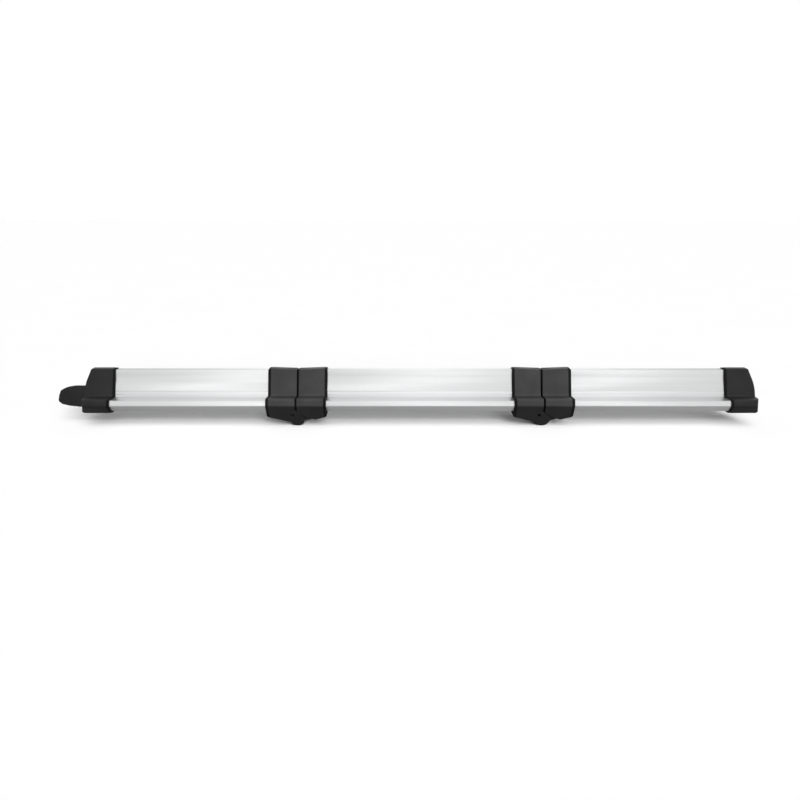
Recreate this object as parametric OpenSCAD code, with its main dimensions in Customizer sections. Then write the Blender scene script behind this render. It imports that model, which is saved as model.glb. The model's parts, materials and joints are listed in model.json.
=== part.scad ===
// Folding cargo bar for a pickup bed.
// Three hollow aluminium beams are joined by two bottom-pivot hinges and closed by moulded end caps.
// Millimetres. X runs along the bar, -Y is the side with the projecting nose, +Z is up.

/* [Layout] */
// Distance from the end of one cap to the end of the other
cap_to_cap = 1484; // [1300:2:1700]
// Distance between the two hinge axes
hinge_span = 540; // [480:2:600]
// Length of each hinge housing half
housing_len = 65.6; // [62:0.2:72]
// How far the latch tongue stands out of the left cap
tongue_out = 62; // [50:1:70]

/* [Beam section] */
// Height of the housing and cap section above the floor
top_z = 124; // [120:1:130]
// Height of the flat underside of the caps
under_z = 33; // [31:1:36]
// How much higher the underside of the aluminium section is drawn
rail_rise = 3.4; // [2:0.2:4]
// Height of the ledge above the nose
ledge_z = 64; // [62:1:68]
// How much the ledge climbs from the sloping face to the nose
ledge_lift = 2.4; // [0:0.2:3]
// How far the mouldings stand proud of the aluminium
skin = 2.2; // [1.6:0.1:2.8]
// Wall thickness of the extrusion
wall = 2.6; // [2:0.1:3.2]
// Gap between the extrusion and the mouldings it slides into
fit_gap = 0.15; // [0.1:0.05:0.3]

/* [End caps] */
// Length of each end cap along the bar
cap_len = 68; // [64:1:72]
// How far the extrusion goes into the cap
cap_socket = 14; // [12:1:16]
// Wall thickness of the end caps
cap_wall = 3.5; // [3:0.5:4]

/* [Hinges] */
// Radius of the hinge barrel, which is also the height of its axis
barrel_r = 16.5; // [16:0.5:17.5]
// Radius of the pivot bolt
pin_r = 5; // [4.5:0.1:5.5]
// Radial running clearance between the bolt and its bushing
run_gap = 0.05; // [0.02:0.01:0.1]
// Gap between the two halves of a hinge when the bar is straight
seam_gap = 4.6; // [2:0.2:5]
// Width of the rubber seal around the mouth of every moulding
seal_w = 6; // [4:0.5:6]

/* [Latch] */
// Thickness of the latch tongue
tongue_t = 8; // [7:0.5:9]
// Travel of the latch tongue
tongue_travel = 16; // [10:1:16]

/* [Screws] */
// Radius of the self-tapping screws
screw_r = 2; // [1.8:0.1:2.1]
// Radius of the screw heads
head_r = 4.2; // [3.8:0.1:4.4]

/* [Hidden] */
$fn = 48;
eps = 0.01;
arc_step = 9;
mid_x = tongue_out / 2;
half = cap_to_cap / 2;
axis_l = mid_x - hinge_span / 2;
axis_r = mid_x + hinge_span / 2;
axis_z = barrel_r;
rail_stop = 24;
lug_y = [[-34, 4], [28, 50]];
knuckle_y = [5, 27];
bush_r = 7;
tongue_y = 25;
plate_t = 3;
port_z = under_z + rail_rise + 8.2;
port_yz = [[44, 117], [43.5, port_z], [12, port_z], [-38, 57.8]];
port_r = 2.1;
boss_r = 4.5;
tower_r = 6.3;
dip = 7.2;
notch_z = axis_z + dip + 1.2;
belly_z = axis_z + 7.7;
foot_x = cap_len - 16;
knob_x = cap_len - 11;

// ---------- profile helpers ----------

// Unit vector square to the edge p-q, pointing out of a counter-clockwise outline
function outward(p, q) = let (t = (q - p) / norm(q - p)) [t.y, -t.x];

// The outline with every edge moved outward by d and the corners kept sharp
function grown(pts, d) = let (n = len(pts)) [
  for (i = [0 : n - 1])
    let (
      a = outward(pts[(i + n - 1) % n], pts[i]),
      b = outward(pts[i], pts[(i + 1) % n])
    )
    pts[i] + d * (a + b) / (1 + a * b)
];

// Angle brought into -180..180
function wrapped(a) = a > 180 ? a - 360 : a < -180 ? a + 360 : a;

// Short arc that rounds the corner p between its neighbours a and b
function corner(a, p, b, r) = let (
    u = (a - p) / norm(a - p),
    v = (b - p) / norm(b - p),
    h = acos(u * v) / 2,
    c = p + (u + v) / norm(u + v) * r / sin(h),
    s = p + u * r / tan(h) - c,
    e = p + v * r / tan(h) - c,
    from = atan2(s.y, s.x),
    sweep = wrapped(atan2(e.y, e.x) - from),
    n = max(2, ceil(abs(sweep) / arc_step))
  )
  [for (i = [0 : n]) c + r * [cos(from + sweep * i / n), sin(from + sweep * i / n)]];

// The outline with corner i rounded to radii[i]; 0 keeps it sharp
function rounded(pts, radii) = let (n = len(pts)) [
  for (i = [0 : n - 1])
    for (q = radii[i] > 0
      ? corner(pts[(i + n - 1) % n], pts[i], pts[(i + 1) % n], radii[i])
      : [pts[i]])
      q
];

// Point on the undercut below the nose at height z
function undercut_y(z) = -25 - 26 * (z - under_z) / (ledge_z - 13 - under_z);

// Section with its base at height z as [y, z] corners: back, top, sloping face, ledge, nose, base
function section(z) = [
  [51, z],
  [51, top_z],
  [22, top_z],
  [6, ledge_z],
  [-47, ledge_z + ledge_lift],
  [-51, ledge_z - 13],
  [undercut_y(z), z]
];
section_r = [4, 5, 4, 5, 6, 5, 4];
// +1 where a corner points out, -1 where it points in
section_turn = [1, 1, 1, -1, 1, 1, 1];

// Rounded section with its surface moved outward by d
function outline(z, d) = rounded(
  grown(section(z), d),
  [for (i = [0 : 6]) max(0.8, section_r[i] + section_turn[i] * d)]
);

// Outline of the caps, and of the aluminium section that slides into the mouldings
function skin_outline(d) = outline(under_z, d);
function rail_outline(d) = outline(under_z + rail_rise, d - skin);

// Section of the hinge housings, which reaches lower than the caps
housing_section = [
  [51.6, axis_z - 30],
  [51.6, top_z + 1],
  [21.6, top_z + 1],
  [6, ledge_z + 2],
  [-47.6, ledge_z + 2 + ledge_lift],
  [-51.8, ledge_z - 11.5],
  [16.6, axis_z - 30]
];
housing_r = [0, 5, 4, 5, 6, 5, 0];

// Extrudes a [y, z] outline from x0 to x1
module along_x(x0, x1) {
  translate([x0, 0, 0])
    rotate([90, 0, 90])
      linear_extrude(height = x1 - x0)
        children();
}

// Extrudes an [x, z] outline from y0 to y1
module along_y(y0, y1) {
  translate([0, y1, 0])
    rotate([90, 0, 0])
      linear_extrude(height = y1 - y0)
        children();
}

// Round bar along X
module rod_x(x0, x1, r, y, z) {
  translate([x0, y, z])
    rotate([0, 90, 0])
      cylinder(h = x1 - x0, r = r);
}

// Round bar along Y
module rod_y(y0, y1, r, x, z) {
  translate([x, y1, z])
    rotate([90, 0, 0])
      cylinder(h = y1 - y0, r = r);
}

// Box from one corner to the other
module block(a, b) {
  translate(a)
    cube(b - a);
}

// ---------- aluminium beams ----------

// Hollow section with two webs and four screw ports
module beam_section() {
  difference() {
    union() {
      difference() {
        polygon(rail_outline(0));
        difference() {
          polygon(rail_outline(-wall));
          translate([5, under_z])
            square([wall, ledge_z - under_z]);
          translate([5, ledge_z - wall])
            square([46, wall]);
        }
      }
      for (p = port_yz)
        translate(p)
          circle(r = boss_r);
    }
    for (p = port_yz)
      translate(p)
        circle(r = port_r);
  }
}

// Radius of the flute, the height of its middle, and how far its centre stands off the face
flute_r = 60;
flute_z = 103;
flute_up = flute_r - 1;
face_tilt = atan(16 / (top_z - ledge_z));

// Point on the sloping face at height z
function face_y(z) = 6 + (z - ledge_z) * 16 / (top_z - ledge_z) + skin * 1.035;

// One beam with its long shallow flute and pair of shadow lines
module beam(x0, x1) {
  color("Silver")
    difference() {
      along_x(x0, x1)
        beam_section();
      intersection() {
        rod_x(
          x0 - 1,
          x1 + 1,
          flute_r,
          face_y(flute_z) - flute_up * cos(face_tilt),
          flute_z + flute_up * sin(face_tilt)
        );
        block([x0 - 1, -30, flute_z - 12], [x1 + 1, 40, flute_z + 12]);
      }
      for (z = [75.5, 68.5])
        rod_x(x0 - 1, x1 + 1, 1, face_y(z) - 0.4, z);
    }
}

module rail_left() {
  beam(mid_x - half + cap_len - cap_socket, axis_l - rail_stop);
}

module rail_middle() {
  beam(axis_l + rail_stop, axis_r - rail_stop);
}

module rail_right() {
  beam(axis_r + rail_stop, mid_x + half - cap_len + cap_socket);
}

// ---------- hinge housings ----------

// Places a part modelled outward from x = 0 at a hinge axis; side is -1 or 1
module at_hinge(ax, side) {
  translate([ax, 0, 0])
    mirror([side < 0 ? 1 : 0, 0, 0])
      children();
}

// Height of the belly line at distance x from the axis
function belly(x) = axis_z - dip + (x - 14) * (belly_z - axis_z + dip) / (housing_len - 14);

// Front view of one housing half: shallow V on top, sloping belly, notch above the barrel
housing_front = rounded(
  [
    [seam_gap / 2, notch_z],
    [15, notch_z],
    [39, belly(39)],
    [housing_len, belly_z],
    [housing_len, top_z + 1],
    [seam_gap / 2, top_z - 1.7]
  ],
  [0, 0, 0, 6, 4.5, 1]
);

// Front view of the belly ribs, which fill the notch beside a half's own knuckles
rib_front = [
  [0, axis_z - dip],
  [14, axis_z - dip],
  [38.7, belly(38.7)],
  [44, belly(44) + 3],
  [44, notch_z + 12],
  [0, notch_z + 12]
];

// Moulded shell with the socket for the beam, before knuckles are added
module housing_shell(lug_gaps) {
  difference() {
    intersection() {
      along_x(0, housing_len - seal_w)
        polygon(rounded(housing_section, housing_r));
      along_y(-60, 60)
        polygon(housing_front);
    }
    // socket for the beam
    along_x(rail_stop, housing_len + 1)
      polygon(rail_outline(fit_gap));
    // lightening pocket behind the seam face
    intersection() {
      along_x(6, rail_stop + 1)
        polygon(rail_outline(-5));
      block([0, -60, 40], [30, 60, 130]);
    }
    // relief around the knuckles of the other half
    for (g = lug_gaps)
      rod_y(g[0], g[1], barrel_r + 1.7, 0, axis_z);
  }
}

// Knuckles of one half with the ribs that carry them
module knuckles(spans) {
  intersection() {
    for (l = spans) {
      rod_y(l[0], l[1], barrel_r, 0, axis_z);
      along_y(l[0], l[1])
        polygon(rib_front);
    }
    along_x(-20, 46)
      polygon(grown(housing_section, -0.04));
  }
}

// Screw towers that tie the shell to the ports of the beam
module housing_towers() {
  for (p = port_yz)
    rod_x(5, rail_stop, tower_r, p.x, p.y);
}

module housing_screw_holes() {
  for (p = port_yz) {
    rod_x(-1, rail_stop + 1, screw_r + 0.3, p.x, p.y);
    rod_x(-1, 18, head_r + 0.4, p.x, p.y);
  }
}

// Outline of the rubber pad in the seam face, up to the height top
module pad_outline(top, slack) {
  polygon(rounded(
    [
      [25 - slack, 58 - slack],
      [47 + slack, 58 - slack],
      [47 + slack, top],
      [25 - slack, top]
    ],
    [3, 3, 1, 1]
  ));
}

// Channel for the pad, open at the top
module pad_channel() {
  along_x(0, seam_gap / 2 + 2.6)
    pad_outline(top_z + 10, 0.1);
}

// Half with two lugs: the front one holds the nut and the rear one the bolt head
module fork_half(pad = false) {
  color("DimGray")
    difference() {
      union() {
        housing_shell([[knuckle_y[0] - 1, knuckle_y[1] + 1]]);
        housing_towers();
        knuckles(lug_y);
      }
      housing_screw_holes();
      rod_y(-4.5, 60, pin_r + run_gap, 0, axis_z);
      rod_y(43, 60, 8.6, 0, axis_z);
      // pocket for the nut, open towards the knuckle
      nut_prism(-2.8, knuckle_y[0] - 0.5, 9.45);
      // moulding relief in the front lug
      rod_y(-60, -6, 4.2, 9.4, axis_z + 11.8);
      if (pad)
        pad_channel();
    }
}

// Half with the single middle knuckle, which carries the bushing
module knuckle_half(pad = false) {
  color("DimGray")
    difference() {
      union() {
        housing_shell([[-60, knuckle_y[0]], [knuckle_y[1], 60]]);
        housing_towers();
        knuckles([knuckle_y]);
      }
      housing_screw_holes();
      rod_y(-40, 60, bush_r, 0, axis_z);
      if (pad)
        pad_channel();
    }
}

module housing_left_outer() {
  at_hinge(axis_l, -1)
    fork_half();
}

module housing_left_inner() {
  at_hinge(axis_l, 1)
    knuckle_half(pad = true);
}

module housing_right_inner() {
  at_hinge(axis_r, -1)
    fork_half(pad = true);
}

module housing_right_outer() {
  at_hinge(axis_r, 1)
    knuckle_half();
}

// ---------- pivot hardware ----------

// Plain sleeve between the knuckle and the bolt
module bushing(ax) {
  color("Goldenrod")
    difference() {
      rod_y(knuckle_y[0], knuckle_y[1], bush_r - 0.02, ax, axis_z);
      rod_y(-1, 60, pin_r + run_gap, ax, axis_z);
    }
}

module bushing_left() {
  bushing(axis_l);
}

module bushing_right() {
  bushing(axis_r);
}

// Thin washers that brake the hinge on both faces of the knuckle
module friction_washers(ax) {
  color("Gainsboro")
    for (y = [knuckle_y[0] - 0.95, knuckle_y[1] + 0.15])
      difference() {
        rod_y(y, y + 0.8, 13, ax, axis_z);
        rod_y(y - 1, y + 2, pin_r + 0.2, ax, axis_z);
      }
}

module friction_washers_left() {
  friction_washers(axis_l);
}

module friction_washers_right() {
  friction_washers(axis_r);
}

// Bolt with a hexagon socket in its head, put in from the back
module pivot_bolt(ax) {
  color("DarkSlateGray")
    difference() {
      union() {
        rod_y(43.1, 49, 8, ax, axis_z);
        rod_y(-4, 43.1, pin_r, ax, axis_z);
      }
      translate([ax, 50, axis_z])
        rotate([90, 0, 0])
          cylinder(h = 4, r = 4.6, $fn = 6);
    }
}

module pivot_bolt_left() {
  pivot_bolt(axis_l);
}

module pivot_bolt_right() {
  pivot_bolt(axis_r);
}

// Six-sided prism along Y, centred on the local origin
module nut_prism(y0, y1, r) {
  translate([0, y1, axis_z])
    rotate([90, 30, 0])
      cylinder(h = y1 - y0, r = r, $fn = 6);
}

// Hexagon nut with a round collar, held in the front lug
module lock_nut(ax) {
  color("DarkSlateGray")
    translate([ax, 0, 0])
      difference() {
        union() {
          nut_prism(-2.6, 2.4, 9.2);
          rod_y(2.4, 3.8, 7.4, 0, axis_z);
        }
        rod_y(-4, 5, pin_r + 0.03, 0, axis_z);
      }
}

module lock_nut_left() {
  lock_nut(axis_l);
}

module lock_nut_right() {
  lock_nut(axis_r);
}

// Rubber pad that takes the closing load at the seam
module butt_pad(ax, side) {
  color("Black")
    at_hinge(ax, side)
      along_x(-seam_gap / 2 + 0.1, seam_gap / 2 + 2.5)
        pad_outline(top_z - 2.1, 0);
}

module butt_pad_left() {
  butt_pad(axis_l, 1);
}

module butt_pad_right() {
  butt_pad(axis_r, -1);
}

// ---------- mouth seals ----------

// Rubber collar that closes the mouth of a housing around the beam
module housing_seal() {
  intersection() {
    along_x(housing_len - seal_w + 0.02, housing_len)
      difference() {
        polygon(rounded(grown(housing_section, -0.4), housing_r));
        polygon(rail_outline(0.05));
      }
    along_y(-60, 60)
      polygon(housing_front);
  }
}

// Rubber collar that closes the mouth of an end cap around the beam
module cap_seal() {
  along_x(0, seal_w - 0.02)
    difference() {
      polygon(skin_outline(-0.4));
      polygon(rail_outline(0.05));
    }
}

module mouth_seals_left() {
  color("Black") {
    at_hinge(axis_l, -1)
      housing_seal();
    at_cap(-1)
      cap_seal();
  }
}

module mouth_seals_middle() {
  color("Black") {
    at_hinge(axis_l, 1)
      housing_seal();
    at_hinge(axis_r, -1)
      housing_seal();
  }
}

module mouth_seals_right() {
  color("Black") {
    at_hinge(axis_r, 1)
      housing_seal();
    at_cap(1)
      cap_seal();
  }
}

// ---------- screws ----------

// Pan-head tapping screw along X: the head's seat is at x = 0 and the tip is at x = -25
module tapping_screw(p) {
  difference() {
    union() {
      rod_x(-22, 0, screw_r, p.x, p.y);
      translate([-22, p.x, p.y])
        rotate([0, -90, 0])
          cylinder(h = 3, r1 = screw_r, r2 = 0.6);
      rod_x(0, 1.8, head_r, p.x, p.y);
      translate([1.8, p.x, p.y])
        rotate([0, 90, 0])
          cylinder(h = 1, r1 = head_r, r2 = head_r - 1.4);
    }
    translate([1, p.x, p.y])
      rotate([0, 90, 0])
        cylinder(h = 3, r = 1.9, $fn = 6);
  }
}

// The four screws of one housing half
module housing_screws(ax, side) {
  color("Silver")
    at_hinge(ax, side)
      translate([18, 0, 0])
        mirror([1, 0, 0])
          for (p = port_yz)
            tapping_screw(p);
}

module housing_screws_left_outer() {
  housing_screws(axis_l, -1);
}

module housing_screws_left_inner() {
  housing_screws(axis_l, 1);
}

module housing_screws_right_inner() {
  housing_screws(axis_r, -1);
}

module housing_screws_right_outer() {
  housing_screws(axis_r, 1);
}

// ---------- end caps ----------

// Places a part modelled outward from the mouth of a cap; side is -1 or 1
module at_cap(side) {
  translate([mid_x + side * (half - cap_len), 0, 0])
    mirror([side < 0 ? 1 : 0, 0, 0])
      children();
}

// Front view of a cap with its bowed outer end, moved inward by d
function cap_front(d) = rounded(
  concat(
    [[-5, under_z], [cap_len - 5.5 - d, under_z], [cap_len - d, under_z + 33]],
    [for (a = [0 : 4 : 24]) [cap_len - 94 + (94 - d) * cos(a), 70 + (94 - d) * sin(a)]],
    [[cap_len - 14 - d, top_z], [-5, top_z]]
  ),
  [0, 4, 0, 0, 0, 0, 0, 0, 0, 0, 2.5, 0]
);

// Plan view of a cap with its end swept back towards the nose by back
function cap_plan(d, back) = rounded(
  concat(
    [[-5, -51], [cap_len - back - d, -51]],
    [for (a = [-14 : 3.5 : 0]) [cap_len - 185 + (185 - d) * cos(a), 10 + 185 * sin(a)]],
    [[cap_len - d, 51], [-5, 51]]
  ),
  [0, 6, 0, 0, 0, 0, 0, 9, 0]
);

// Solid envelope of a cap from x0 to the outer end, moved inward by d
module cap_envelope(x0, d, back) {
  intersection() {
    along_x(x0, cap_len)
      polygon(skin_outline(-d));
    along_y(-60, 60)
      polygon(cap_front(min(d, cap_wall)));
    translate([0, 0, under_z - 5])
      linear_extrude(height = 110)
        polygon(cap_plan(min(d, cap_wall), back));
  }
}

// Cap moulding; the latch version has a recess for the release knob
module end_cap(latch) {
  inner = cap_socket + plate_t;
  back = latch ? 10.3 : 12.3;
  color("DimGray")
    difference() {
      union() {
        difference() {
          cap_envelope(seal_w, 0, back);
          // socket for the beam and the retainer plate
          along_x(-1, inner)
            polygon(rail_outline(fit_gap));
          cap_envelope(inner - eps, cap_wall + 2, back);
        }
        intersection() {
          cap_envelope(0, 0, back);
          for (p = port_yz)
            rod_x(inner, cap_len, tower_r, p.x, p.y);
        }
        if (latch)
          block([cap_len - 41, 39, 50], [cap_len - 4, 48, 80]);
      }
      for (p = port_yz) {
        rod_x(inner - 1, cap_len + 1, screw_r + 0.3, p.x, p.y);
        rod_x(inner + 5, cap_len + 1, head_r + 0.4, p.x, p.y);
      }
      // slot for the latch tongue
      block(
        [cap_len - 9, tongue_y - tongue_t / 2 - 0.3, 38.2],
        [cap_len + 1, tongue_y + tongue_t / 2 + 0.3, 86.3]
      );
      if (latch) {
        // finger recess and the slot the knob's stem runs in
        block([knob_x - tongue_travel - 10, 42.5, 54], [cap_len - 4, 52, 78]);
        block([knob_x - tongue_travel - 6, 38, 61.5], [knob_x + 5.5, 44, 70.5]);
      }
    }
}

module end_cap_left() {
  at_cap(-1)
    end_cap(latch = true);
}

module end_cap_right() {
  at_cap(1)
    end_cap(latch = false);
}

// The four screws that pull a cap onto its beam
module cap_screws(side) {
  color("Silver")
    at_cap(side)
      translate([cap_socket + plate_t + 5, 0, 0])
        for (p = port_yz)
          tapping_screw(p);
}

module cap_screws_left() {
  cap_screws(-1);
}

module cap_screws_right() {
  cap_screws(1);
}

// Plate held between the beam and the cap; the left one carries the spring's guide rod
module retainer_plate(side, rod) {
  color("Gainsboro")
    at_cap(side)
      difference() {
        union() {
          along_x(cap_socket + 0.02, cap_socket + plate_t)
            polygon(rail_outline(-0.1));
          if (rod)
            rod_x(cap_socket + plate_t - eps, cap_len - 34, 3.6, tongue_y, 63);
        }
        for (p = port_yz)
          rod_x(0, 30, screw_r + 0.3, p.x, p.y);
      }
}

module retainer_plate_left() {
  retainer_plate(-1, true);
}

module retainer_plate_right() {
  retainer_plate(1, false);
}

// ---------- latch ----------

// Side view of the tongue as [x, z] from the mouth of the cap
tongue_front = rounded(
  [
    [cap_len - 10, 38.5],
    [cap_len + 14, 38.8],
    [cap_len + tongue_out - 26, 41],
    [cap_len + tongue_out - 8, 45],
    [cap_len + tongue_out + 0.3, 52],
    [cap_len + tongue_out - 2, 65],
    [cap_len + tongue_out - 6, 76],
    [cap_len + tongue_out - 20, 83],
    [cap_len + tongue_out - 38, 86],
    [cap_len - 10, 86]
  ],
  [0, 0, 40, 8, 5, 12, 8, 30, 40, 0]
);

// Flat blade with a wide foot that keeps it in the cap
module latch_tongue() {
  color("Black")
    at_cap(-1)
      difference() {
        union() {
          along_y(tongue_y - tongue_t / 2, tongue_y + tongue_t / 2)
            polygon(tongue_front);
          block([foot_x, 19, 48], [foot_x + 9.2, 32.8, 82]);
        }
        rod_x(foot_x - 1, foot_x + 3, 8.6, tongue_y, 63);
        rod_x(foot_x - 1, foot_x + 8, 4, tongue_y, 63);
        rod_y(26, 34, 1.5, knob_x, 66);
      }
}

// Round wire swept along a helix about the X axis
spring_r = 6.6;
spring_wire = 0.8;
spring_x0 = cap_socket + plate_t + 0.9;
spring_x1 = foot_x + 2;
spring_turns = 7;
spring_steps = 126;
spring_sides = 8;

function spring_point(i, j) = let (
    a = 360 * spring_turns * i / spring_steps,
    b = 360 * j / spring_sides,
    r = spring_r + spring_wire * cos(b)
  )
  [
    spring_x0 + (spring_x1 - spring_x0) * i / spring_steps + spring_wire * sin(b),
    tongue_y + r * cos(a),
    63 + r * sin(a)
  ];

module latch_spring() {
  n = spring_sides;
  points = [for (i = [0 : spring_steps]) for (j = [0 : n - 1]) spring_point(i, j)];
  walls = [
    for (i = [0 : spring_steps - 1])
      for (j = [0 : n - 1])
        [i * n + j, i * n + (j + 1) % n, (i + 1) * n + (j + 1) % n, (i + 1) * n + j]
  ];
  ends = [
    [for (j = [n - 1 : -1 : 0]) j],
    [for (j = [0 : n - 1]) spring_steps * n + j]
  ];
  color("Silver")
    at_cap(-1)
      polyhedron(points = points, faces = concat(walls, ends));
}

// Thumb knob in the recess at the back of the left cap, with finger ribs
module release_knob() {
  color("Black")
    at_cap(-1)
      difference() {
        union() {
          block([knob_x - 6, 44.3, 57], [knob_x + 6, 48.5, 75]);
          block([knob_x - 2.8, 33, 63], [knob_x + 3, 45, 69]);
          for (i = [0 : 2])
            for (z = [57, 70])
              translate([knob_x - 6 + 4.3 * i, 48, z])
                cube([3.4, 2.4, 5]);
        }
        rod_y(30, 52, 1.7, knob_x, 66);
        rod_y(46, 52, 3.2, knob_x, 66);
      }
}

// Screw that joins the knob to the tongue
module knob_screw() {
  color("Silver")
    at_cap(-1)
      difference() {
        union() {
          rod_y(27, 46, 1.45, knob_x, 66);
          rod_y(46, 48, 2.9, knob_x, 66);
        }
        translate([knob_x, 49, 66])
          rotate([90, 0, 0])
            cylinder(h = 2, r = 1.3, $fn = 6);
      }
}

// ---------- output ----------

rail_left();
rail_middle();
rail_right();
housing_left_outer();
housing_left_inner();
housing_right_inner();
housing_right_outer();
bushing_left();
bushing_right();
friction_washers_left();
friction_washers_right();
pivot_bolt_left();
pivot_bolt_right();
lock_nut_left();
lock_nut_right();
butt_pad_left();
butt_pad_right();
mouth_seals_left();
mouth_seals_middle();
mouth_seals_right();
housing_screws_left_outer();
housing_screws_left_inner();
housing_screws_right_inner();
housing_screws_right_outer();
end_cap_left();
end_cap_right();
cap_screws_left();
cap_screws_right();
retainer_plate_left();
retainer_plate_right();
latch_tongue();
latch_spring();
release_knob();
knob_screw();
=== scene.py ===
import json
import math

import bpy
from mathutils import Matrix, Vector

# Folding bed cargo bar: finishes, stage, light and camera for the CAD pieces of the frame.

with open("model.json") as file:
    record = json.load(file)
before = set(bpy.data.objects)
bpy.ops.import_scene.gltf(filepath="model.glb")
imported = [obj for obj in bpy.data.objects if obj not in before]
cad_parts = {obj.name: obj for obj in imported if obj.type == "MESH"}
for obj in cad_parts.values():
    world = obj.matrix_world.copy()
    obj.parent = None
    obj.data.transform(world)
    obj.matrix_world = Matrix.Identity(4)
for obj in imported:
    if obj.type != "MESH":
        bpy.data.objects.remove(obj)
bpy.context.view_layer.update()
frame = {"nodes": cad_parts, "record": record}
scene = bpy.context.scene
nodes = frame["nodes"]


# ---------- node helpers ----------

def new_material(name):
    """Empty material with a Principled surface; returns the material, its tree and the shader."""
    mat = bpy.data.materials.new(name)
    mat.use_nodes = True
    tree = mat.node_tree
    tree.nodes.clear()
    out = tree.nodes.new("ShaderNodeOutputMaterial")
    shader = tree.nodes.new("ShaderNodeBsdfPrincipled")
    tree.links.new(shader.outputs["BSDF"], out.inputs["Surface"])
    return mat, tree, shader


def object_coords(tree, scale):
    """Object coordinates in metres, times scale."""
    coord = tree.nodes.new("ShaderNodeTexCoord")
    mapping = tree.nodes.new("ShaderNodeMapping")
    mapping.inputs["Scale"].default_value = scale
    tree.links.new(coord.outputs["Object"], mapping.inputs["Vector"])
    return mapping.outputs["Vector"]


def noise(tree, vector, scale=1.0, detail=3.0, rough=0.55):
    n = tree.nodes.new("ShaderNodeTexNoise")
    n.inputs["Scale"].default_value = scale
    n.inputs["Detail"].default_value = detail
    n.inputs["Roughness"].default_value = rough
    tree.links.new(vector, n.inputs["Vector"])
    return n.outputs["Fac"]


def remap(tree, value, low, high, start=0.0, stop=1.0):
    """value from start..stop onto low..high."""
    m = tree.nodes.new("ShaderNodeMapRange")
    m.inputs["From Min"].default_value = start
    m.inputs["From Max"].default_value = stop
    m.inputs["To Min"].default_value = low
    m.inputs["To Max"].default_value = high
    tree.links.new(value, m.inputs["Value"])
    return m.outputs["Result"]


def blend_colors(tree, fac, a, b):
    mix = tree.nodes.new("ShaderNodeMix")
    mix.data_type = "RGBA"
    mix.inputs["A"].default_value = (*a, 1)
    mix.inputs["B"].default_value = (*b, 1)
    tree.links.new(fac, mix.inputs["Factor"])
    return mix.outputs["Result"]


def bump(tree, height, distance, strength=1.0, under=None):
    b = tree.nodes.new("ShaderNodeBump")
    b.inputs["Strength"].default_value = strength
    b.inputs["Distance"].default_value = distance
    tree.links.new(height, b.inputs["Height"])
    if under is not None:
        tree.links.new(under, b.inputs["Normal"])
    return b.outputs["Normal"]


# ---------- materials ----------

def anodised_aluminium():
    """Clear-anodised extrusion: lengthwise draw lines, faint handling haze."""
    mat, tree, shader = new_material("anodised_aluminium")
    lines = noise(tree, object_coords(tree, (0.6, 1500, 1500)), 1.0, 2.0, 0.6)
    broad = noise(tree, object_coords(tree, (0.9, 130, 130)), 1.0, 2.0, 0.5)
    grain = noise(tree, object_coords(tree, (900, 1800, 1800)), 1.0, 2.0, 0.6)
    tint = remap(tree, broad, 0, 1, 0.3, 0.7)
    color = blend_colors(tree, tint, (0.815, 0.821, 0.827), (0.853, 0.857, 0.861))
    tree.links.new(color, shader.inputs["Base Color"])
    tree.links.new(remap(tree, lines, 0.28, 0.38, 0.3, 0.7), shader.inputs["Roughness"])
    normal = bump(tree, lines, 0.00004, 0.35)
    normal = bump(tree, grain, 0.00002, 0.25, normal)
    tree.links.new(normal, shader.inputs["Normal"])
    shader.inputs["Metallic"].default_value = 0.92
    return mat


def moulded_nylon(name, base, rough, painted_under_shade=0.8, painted_top_light=1.0):
    """Glass-filled nylon with a fine spark-eroded texture.

    The colour carries painted light: faces that point up are lightened by the last argument (painted
    highlight) and faces that point down are darkened by the one before it (painted shade).
    """
    mat, tree, shader = new_material(name)
    fine = noise(tree, object_coords(tree, (1400, 1400, 1400)), 1.0, 3.0, 0.6)
    cloud = noise(tree, object_coords(tree, (28, 28, 28)), 1.0, 3.0, 0.5)
    light = tuple(c * 1.35 + 0.001 for c in base)
    color = blend_colors(tree, remap(tree, cloud, 0, 1, 0.3, 0.7), base, light)
    # Painted shade and highlight: the object-space normal darkens downward faces and lightens upward ones.
    facing = tree.nodes.new("ShaderNodeSeparateXYZ")
    tree.links.new(tree.nodes.new("ShaderNodeTexCoord").outputs["Normal"], facing.inputs["Vector"])
    low = remap(tree, facing.outputs["Z"], painted_under_shade, 1.0, -0.6, -0.1)
    high = remap(tree, facing.outputs["Z"], 1.0, painted_top_light, 0.3, 0.8)
    tone = tree.nodes.new("ShaderNodeVectorMath")
    tone.operation = "MULTIPLY"
    tree.links.new(low, tone.inputs[0])
    tree.links.new(high, tone.inputs[1])
    painted_light_mix = tree.nodes.new("ShaderNodeMix")
    painted_light_mix.data_type = "RGBA"
    painted_light_mix.blend_type = "MULTIPLY"
    painted_light_mix.inputs["Factor"].default_value = 1.0
    tree.links.new(color, painted_light_mix.inputs["A"])
    tree.links.new(tone.outputs["Vector"], painted_light_mix.inputs["B"])
    tree.links.new(painted_light_mix.outputs["Result"], shader.inputs["Base Color"])
    tree.links.new(remap(tree, fine, rough - 0.05, rough + 0.07, 0.3, 0.7), shader.inputs["Roughness"])
    tree.links.new(bump(tree, fine, 0.00012, 0.5), shader.inputs["Normal"])
    shader.inputs["IOR"].default_value = 1.38
    return mat


def plated_steel(name, base, rough, metallic=1.0):
    mat, tree, shader = new_material(name)
    fine = noise(tree, object_coords(tree, (500, 500, 500)), 1.0, 3.0, 0.6)
    color = blend_colors(tree, fine, base, tuple(min(1, c * 1.2) for c in base))
    tree.links.new(color, shader.inputs["Base Color"])
    tree.links.new(remap(tree, fine, rough - 0.06, rough + 0.08), shader.inputs["Roughness"])
    tree.links.new(bump(tree, fine, 0.00003, 0.3), shader.inputs["Normal"])
    shader.inputs["Metallic"].default_value = metallic
    return mat


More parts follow.
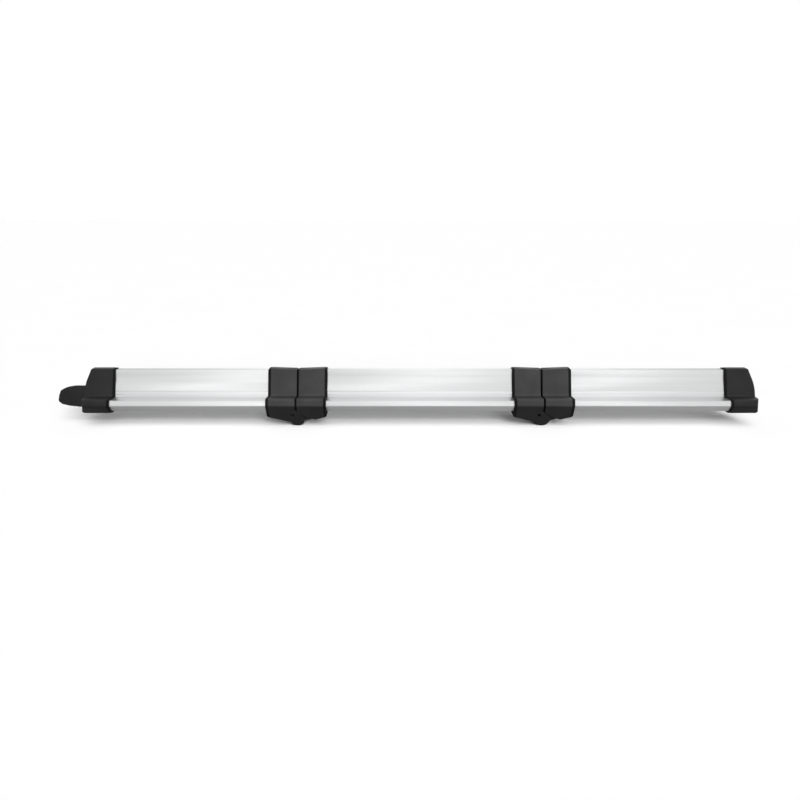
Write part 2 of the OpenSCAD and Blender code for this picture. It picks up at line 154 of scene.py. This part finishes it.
aluminium = anodised_aluminium()
# The last two numbers of each nylon are painted shade on faces pointing down and painted highlight on faces
# pointing up; the rubber takes the default painted shade.
hinge_nylon = moulded_nylon("hinge_nylon", (0.0132, 0.0132, 0.0137), 0.52, 0.42, 1.5)
cap_nylon = moulded_nylon("cap_nylon", (0.0047, 0.0047, 0.0050), 0.50, 0.9, 1.5)
tongue_nylon = moulded_nylon("tongue_nylon", (0.0048, 0.0048, 0.0051), 0.50, 0.9, 3.2)
rubber = moulded_nylon("pad_rubber", (0.0015, 0.0015, 0.0015), 0.85)
steel = plated_steel("zinc_steel", (0.55, 0.56, 0.57), 0.3)
black_steel = plated_steel("black_steel", (0.03, 0.03, 0.032), 0.4, 0.6)
bronze = plated_steel("sintered_bronze", (0.45, 0.30, 0.13), 0.45)

finish_of = {
    "anodised": aluminium,
    "nylon": hinge_nylon,
    "cap_nylon": cap_nylon,
    "steel": steel,
    "black_steel": black_steel,
    "bronze": bronze,
    "rubber": rubber,
}
slot_of = {s["node"]: s["material_slot"] for s in frame["record"]["subparts"]}
# Radius of the softened edges in metres, and the angle past which an edge counts as sharp
edge_of = {"anodised": 0.0003, "nylon": 0.0009, "cap_nylon": 0.0011, "rubber": 0.0005}
sharp_angle = math.radians(32)


def dress(name, obj, slot):
    """Gives a CAD node its material, softened edges and smooth curved faces."""
    obj.data.materials.clear()
    obj.data.materials.append(tongue_nylon if name == "latch_tongue" else finish_of[slot])
    for poly in obj.data.polygons:
        poly.use_smooth = True
    weld = obj.modifiers.new("weld", "WELD")
    weld.merge_threshold = 1e-6
    if slot in edge_of:
        flat = obj.modifiers.new("flatten", "DECIMATE")
        flat.decimate_type = "DISSOLVE"
        flat.angle_limit = math.radians(0.5)
        bevel = obj.modifiers.new("edges", "BEVEL")
        bevel.limit_method = "ANGLE"
        bevel.angle_limit = sharp_angle
        bevel.width = edge_of[slot]
        bevel.segments = 3
        bevel.harden_normals = True
    else:
        split = obj.modifiers.new("split", "EDGE_SPLIT")
        split.split_angle = sharp_angle


for name, obj in nodes.items():
    dress(name, obj, slot_of[name])


# ---------- stage ----------

floor_size = 60
bpy.ops.mesh.primitive_plane_add(size=floor_size, location=(0, 0, 0))
floor = bpy.context.object
floor.name = "floor"
floor_mat, tree, shader = new_material("pale_floor")
speck = noise(tree, object_coords(tree, (3, 3, 3)), 1.0, 2.0, 0.5)
tree.links.new(blend_colors(tree, speck, (0.96, 0.96, 0.96), (0.98, 0.98, 0.98)), shader.inputs["Base Color"])
shader.inputs["Roughness"].default_value = 0.9
# White to the camera, but throwing little light back up under the bar: the absorber's tone is the
# first one for soft bounces and the second for reflections.
floor_path = tree.nodes.new("ShaderNodeLightPath")
absorber = tree.nodes.new("ShaderNodeBsdfDiffuse")
dull = blend_colors(tree, floor_path.outputs["Is Glossy Ray"], (0.10, 0.10, 0.10), (0.30, 0.30, 0.30))
tree.links.new(dull, absorber.inputs["Color"])
floor_mix = tree.nodes.new("ShaderNodeMixShader")
tree.links.new(floor_path.outputs["Is Camera Ray"], floor_mix.inputs[0])
tree.links.new(absorber.outputs["BSDF"], floor_mix.inputs[1])
tree.links.new(shader.outputs["BSDF"], floor_mix.inputs[2])
floor_out = [n for n in tree.nodes if n.type == "OUTPUT_MATERIAL"][0]
tree.links.new(floor_mix.outputs["Shader"], floor_out.inputs["Surface"])
floor.data.materials.append(floor_mat)

# ---------- light ----------

world = bpy.data.worlds.new("studio")
scene.world = world
world.use_nodes = True
sky = world.node_tree
sky.nodes.clear()


def sky_math(op, a, b=None):
    n = sky.nodes.new("ShaderNodeMath")
    n.operation = op
    for socket, value in zip(n.inputs, (a, b)):
        if isinstance(value, (int, float)):
            socket.default_value = value
        elif value is not None:
            sky.links.new(value, socket)
    return n.outputs["Value"]


def sky_background(strength):
    n = sky.nodes.new("ShaderNodeBackground")
    if isinstance(strength, (int, float)):
        n.inputs["Strength"].default_value = strength
    else:
        sky.links.new(strength, n.inputs["Strength"])
    n.inputs["Color"].default_value = (1, 1, 1, 1)
    return n.outputs["Background"]


def sky_mix(fac, a, b):
    n = sky.nodes.new("ShaderNodeMixShader")
    sky.links.new(fac, n.inputs[0])
    sky.links.new(a, n.inputs[1])
    sky.links.new(b, n.inputs[2])
    return n.outputs["Shader"]


# The tent round the object, as its glossy surfaces see it: brightest low ahead of the middle,
# falling off to both sides and overhead.
direction = sky.nodes.new("ShaderNodeTexCoord")
parts = sky.nodes.new("ShaderNodeSeparateXYZ")
sky.links.new(direction.outputs["Generated"], parts.inputs["Vector"])
aside = sky_math("ABSOLUTE", sky_math("SUBTRACT", parts.outputs["X"], 0.02))
falloff = sky_math("POWER", remap(sky, aside, 1.0, 0.0, 0.0, 0.36), 2.0)
across = remap(sky, falloff, 0.66, 1.29)
height = remap(sky, parts.outputs["Z"], 1.06, 0.84, 0.0, 0.9)
tent = sky_background(sky_math("MULTIPLY", across, height))
path = sky.nodes.new("ShaderNodeLightPath")
surround = sky_mix(path.outputs["Is Glossy Ray"], sky_background(0.07), tent)
surround = sky_mix(path.outputs["Is Camera Ray"], surround, sky_background(1.0))
sky_out = sky.nodes.new("ShaderNodeOutputWorld")
sky.links.new(surround, sky_out.inputs["Surface"])


def soft_sun(name, toward, strength, spread):
    """Broad light from the direction toward; spread is its width in degrees."""
    data = bpy.data.lights.new(name, "SUN")
    data.energy = strength
    data.angle = math.radians(spread)
    lamp = bpy.data.objects.new(name, data)
    scene.collection.objects.link(lamp)
    lamp.rotation_mode = "QUATERNION"
    lamp.rotation_quaternion = Vector(toward).to_track_quat("Z", "Y")
    lamp.visible_glossy = False


# A low key from the front, a little to the right, throws the shadow back; two more fill it.
soft_sun("key", (0.16, -0.95, 0.25), 5.3, 18)
soft_sun("middle", (0.10, -0.86, 0.50), 2.2, 32)
soft_sun("fill", (0.05, -0.70, 0.72), 0.9, 50)

# ---------- camera ----------

reach = 2.447
rise = math.radians(10)
aim = Vector((-0.0126, 0, 0.0578))
cam_data = bpy.data.cameras.new("camera")
cam = bpy.data.objects.new("camera", cam_data)
scene.collection.objects.link(cam)
cam.location = aim + Vector((0, -math.cos(rise), math.sin(rise))) * reach
cam.rotation_mode = "QUATERNION"
cam.rotation_quaternion = (cam.location - aim).to_track_quat("Z", "Y")
cam_data.sensor_width = 36
cam_data.lens = 49.87
cam_data.clip_start = 0.05
cam_data.clip_end = 200
scene.camera = cam
scene.view_settings.view_transform = "Standard"
scene.view_settings.look = "None"
